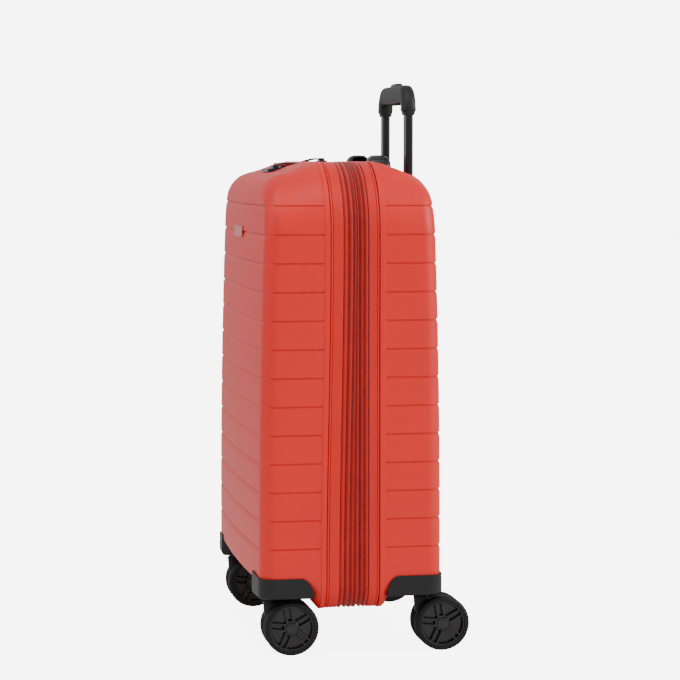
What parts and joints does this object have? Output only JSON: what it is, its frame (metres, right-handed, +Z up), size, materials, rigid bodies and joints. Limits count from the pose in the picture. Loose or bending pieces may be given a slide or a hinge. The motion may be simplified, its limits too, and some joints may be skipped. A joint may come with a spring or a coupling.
{
  "type": "hard shell suitcase on wheels",
  "caption": "Upright hard shell cabin suitcase with ribbed halves, a zip and an expansion gusset between them, swivelling twin casters, a carry handle and a telescopic pull handle.",
  "frame": {"origin": "on the floor, midway between the caster swivel axes", "axes": "+Z up, +X along the width, -Y towards the badge face that opens, +Y towards the telescopic handle"},
  "size_m": [0.3661, 0.245, 0.644],
  "materials": {
    "shell": "fine grained moulded polypropylene, coral red",
    "rim_trim": "satin ribbed trim, coral red",
    "zip_tape": "coil zip on woven tape, coral red",
    "gusset_fabric": "woven polyester, coral red",
    "lining_fabric": "thin woven polyester, dark grey",
    "strap_webbing": "flat webbing, black",
    "black_plastic": "fine textured black plastic",
    "gloss_black": "semi gloss black plastic",
    "soft_black": "soft touch black",
    "dial_grey": "dark grey plastic",
    "black_tube": "black anodised satin",
    "black_metal": "black lacquered zinc",
    "steel": "turned steel",
    "wheel": "black tread on a black spoked hub",
    "badge_metal": "satin tinted metal, blank"
  },
  "bodies": {
    "back_half": {"back_shell": "shell", "back_rim": "rim_trim", "expansion_zip_back": "zip_tape", "expansion_gusset": "gusset_fabric", "back_lining": "lining_fabric", "cross_strap": "strap_webbing", "strap_buckle": "black_plastic", "carry_bracket_left": "gloss_black", "carry_bracket_right": "gloss_black", "trolley_tray": "black_plastic", "tube_foot": "black_plastic", "outer_tube_left": "black_tube", "outer_tube_right": "black_tube", "corner_guard_back_left": "black_plastic", "corner_guard_back_right": "black_plastic"},
    "mid_section": {"mid_frame": "gusset_fabric", "main_zip_back": "zip_tape", "expansion_zip_front": "zip_tape", "hinge_tape": "zip_tape"},
    "front_half": {"front_shell": "shell", "front_rim": "rim_trim", "main_zip_front": "zip_tape", "front_lining": "lining_fabric", "divider_panel": "lining_fabric", "lock_body": "gloss_black", "badge": "badge_metal", "corner_guard_front_left": "black_plastic", "corner_guard_front_right": "black_plastic"},
    "zip_slider_left_body": {"zip_slider_left": "black_metal"},
    "zip_slider_right_body": {"zip_slider_right": "black_metal"},
    "zip_pull_left_body": {"zip_pull_left": "soft_black"},
    "zip_pull_right_body": {"zip_pull_right": "soft_black"},
    "expansion_slider_body": {"expansion_slider": "black_metal"},
    "lock_press": {"lock_button": "gloss_black"},
    "carry_handle": {"carry_grip": "soft_black"},
    "mid_tubes": {"mid_tube_left": "black_tube", "mid_tube_right": "black_tube"},
    "trolley_handle": {"inner_tube_left": "black_tube", "inner_tube_right": "black_tube", "trolley_grip": "black_plastic"},
    "trolley_press": {"trolley_button": "gloss_black"},
    "dial_1": {"lock_dial_1": "dial_grey"},
    "dial_2": {"lock_dial_2": "dial_grey"},
    "dial_3": {"lock_dial_3": "dial_grey"},
    "caster_front_left": {"caster_fork_front_left": "black_plastic", "caster_axle_front_left": "steel"},
    "roller_front_left_inner": {"wheel_front_left_inner": "wheel"},
    "roller_front_left_outer": {"wheel_front_left_outer": "wheel"},
    "caster_front_right": {"caster_fork_front_right": "black_plastic", "caster_axle_front_right": "steel"},
    "roller_front_right_inner": {"wheel_front_right_inner": "wheel"},
    "roller_front_right_outer": {"wheel_front_right_outer": "wheel"},
    "caster_back_left": {"caster_fork_back_left": "black_plastic", "caster_axle_back_left": "steel"},
    "roller_back_left_inner": {"wheel_back_left_inner": "wheel"},
    "roller_back_left_outer": {"wheel_back_left_outer": "wheel"},
    "caster_back_right": {"caster_fork_back_right": "black_plastic", "caster_axle_back_right": "steel"},
    "roller_back_right_inner": {"wheel_back_right_inner": "wheel"},
    "roller_back_right_outer": {"wheel_back_right_outer": "wheel"}
  },
  "joints": [
    {"name": "expansion", "type": "slide", "parent": "back_half", "child": "mid_section", "axis": [0, -1, 0], "range_m": [0, 0.04], "deforming": ["expansion_gusset"]},
    {"name": "case_opening", "type": "hinge", "parent": "mid_section", "child": "front_half", "pos_m": [-0.183, -0.0015, 0.3], "axis": [0, 0, -1], "range_deg": [0, 165]},
    {"name": "main_zip_run_left", "type": "slide", "parent": "front_half", "child": "zip_slider_left_body", "axis": [-1, 0, 0], "range_m": [0, 0.07]},
    {"name": "zip_pull_swing_left", "type": "hinge", "parent": "zip_slider_left_body", "child": "zip_pull_left_body", "pos_m": [-0.009, -0.0015, 0.55555], "axis": [-1, 0, 0], "range_deg": [0, 120]},
    {"name": "main_zip_run_right", "type": "slide", "parent": "front_half", "child": "zip_slider_right_body", "axis": [1, 0, 0], "range_m": [0, 0.07]},
    {"name": "zip_pull_swing_right", "type": "hinge", "parent": "zip_slider_right_body", "child": "zip_pull_right_body", "pos_m": [0.009, -0.0015, 0.55555], "axis": [-1, 0, 0], "range_deg": [0, 120]},
    {"name": "expansion_zip_run", "type": "slide", "parent": "back_half", "child": "expansion_slider_body", "axis": [0, 0, 1], "range_m": [0, 0.22]},
    {"name": "lock_dial_turn_1", "type": "hinge", "parent": "front_half", "child": "dial_1", "pos_m": [-0.015, -0.038, 0.5418], "axis": [1, 0, 0], "continuous": true},
    {"name": "lock_dial_turn_2", "type": "hinge", "parent": "front_half", "child": "dial_2", "pos_m": [-0.01, -0.038, 0.5418], "axis": [1, 0, 0], "continuous": true},
    {"name": "lock_dial_turn_3", "type": "hinge", "parent": "front_half", "child": "dial_3", "pos_m": [-0.005, -0.038, 0.5418], "axis": [1, 0, 0], "continuous": true},
    {"name": "lock_press_slide", "type": "slide", "parent": "front_half", "child": "lock_press", "axis": [0, 0, -1], "range_m": [0, 0.0015], "stiffness_N_per_m": 500, "springref_m": -0.001},
    {"name": "carry_handle_lift", "type": "slide", "parent": "back_half", "child": "carry_handle", "axis": [0, 0, 1], "range_m": [0, 0.0065]},
    {"name": "trolley_lower", "type": "slide", "parent": "back_half", "child": "mid_tubes", "axis": [0, 0, 1], "range_m": [0, 0.2]},
    {"name": "trolley_upper", "type": "slide", "parent": "mid_tubes", "child": "trolley_handle", "axis": [0, 0, 1], "range_m": [-0.086, 0.22]},
    {"name": "trolley_button_press", "type": "slide", "parent": "trolley_handle", "child": "trolley_press", "axis": [0, 0, -1], "range_m": [0, 0.003], "stiffness_N_per_m": 600, "springref_m": -0.0015},
    {"name": "caster_swivel_front_left", "type": "hinge", "parent": "front_half", "child": "caster_front_left", "pos_m": [-0.15, -0.0865, 0.062], "axis": [0, 0, 1], "continuous": true},
    {"name": "wheel_spin_front_left_inner", "type": "hinge", "parent": "caster_front_left", "child": "roller_front_left_inner", "pos_m": [-0.15, -0.0645, 0.031], "axis": [1, 0, 0], "continuous": true},
    {"name": "wheel_spin_front_left_outer", "type": "hinge", "parent": "caster_front_left", "child": "roller_front_left_outer", "pos_m": [-0.15, -0.0645, 0.031], "axis": [1, 0, 0], "continuous": true},
    {"name": "caster_swivel_front_right", "type": "hinge", "parent": "front_half", "child": "caster_front_right", "pos_m": [0.15, -0.0865, 0.062], "axis": [0, 0, 1], "continuous": true},
    {"name": "wheel_spin_front_right_inner", "type": "hinge", "parent": "caster_front_right", "child": "roller_front_right_inner", "pos_m": [0.15, -0.0645, 0.031], "axis": [1, 0, 0], "continuous": true},
    {"name": "wheel_spin_front_right_outer", "type": "hinge", "parent": "caster_front_right", "child": "roller_front_right_outer", "pos_m": [0.15, -0.0645, 0.031], "axis": [1, 0, 0], "continuous": true},
    {"name": "caster_swivel_back_left", "type": "hinge", "parent": "back_half", "child": "caster_back_left", "pos_m": [-0.15, 0.0865, 0.062], "axis": [0, 0, 1], "continuous": true},
    {"name": "wheel_spin_back_left_inner", "type": "hinge", "parent": "caster_back_left", "child": "roller_back_left_inner", "pos_m": [-0.15, 0.1085, 0.031], "axis": [1, 0, 0], "continuous": true},
    {"name": "wheel_spin_back_left_outer", "type": "hinge", "parent": "caster_back_left", "child": "roller_back_left_outer", "pos_m": [-0.15, 0.1085, 0.031], "axis": [1, 0, 0], "continuous": true},
    {"name": "caster_swivel_back_right", "type": "hinge", "parent": "back_half", "child": "caster_back_right", "pos_m": [0.15, 0.0865, 0.062], "axis": [0, 0, 1], "continuous": true},
    {"name": "wheel_spin_back_right_inner", "type": "hinge", "parent": "caster_back_right", "child": "roller_back_right_inner", "pos_m": [0.15, 0.1085, 0.031], "axis": [1, 0, 0], "continuous": true},
    {"name": "wheel_spin_back_right_outer", "type": "hinge", "parent": "caster_back_right", "child": "roller_back_right_outer", "pos_m": [0.15, 0.1085, 0.031], "axis": [1, 0, 0], "continuous": true}
  ]
}
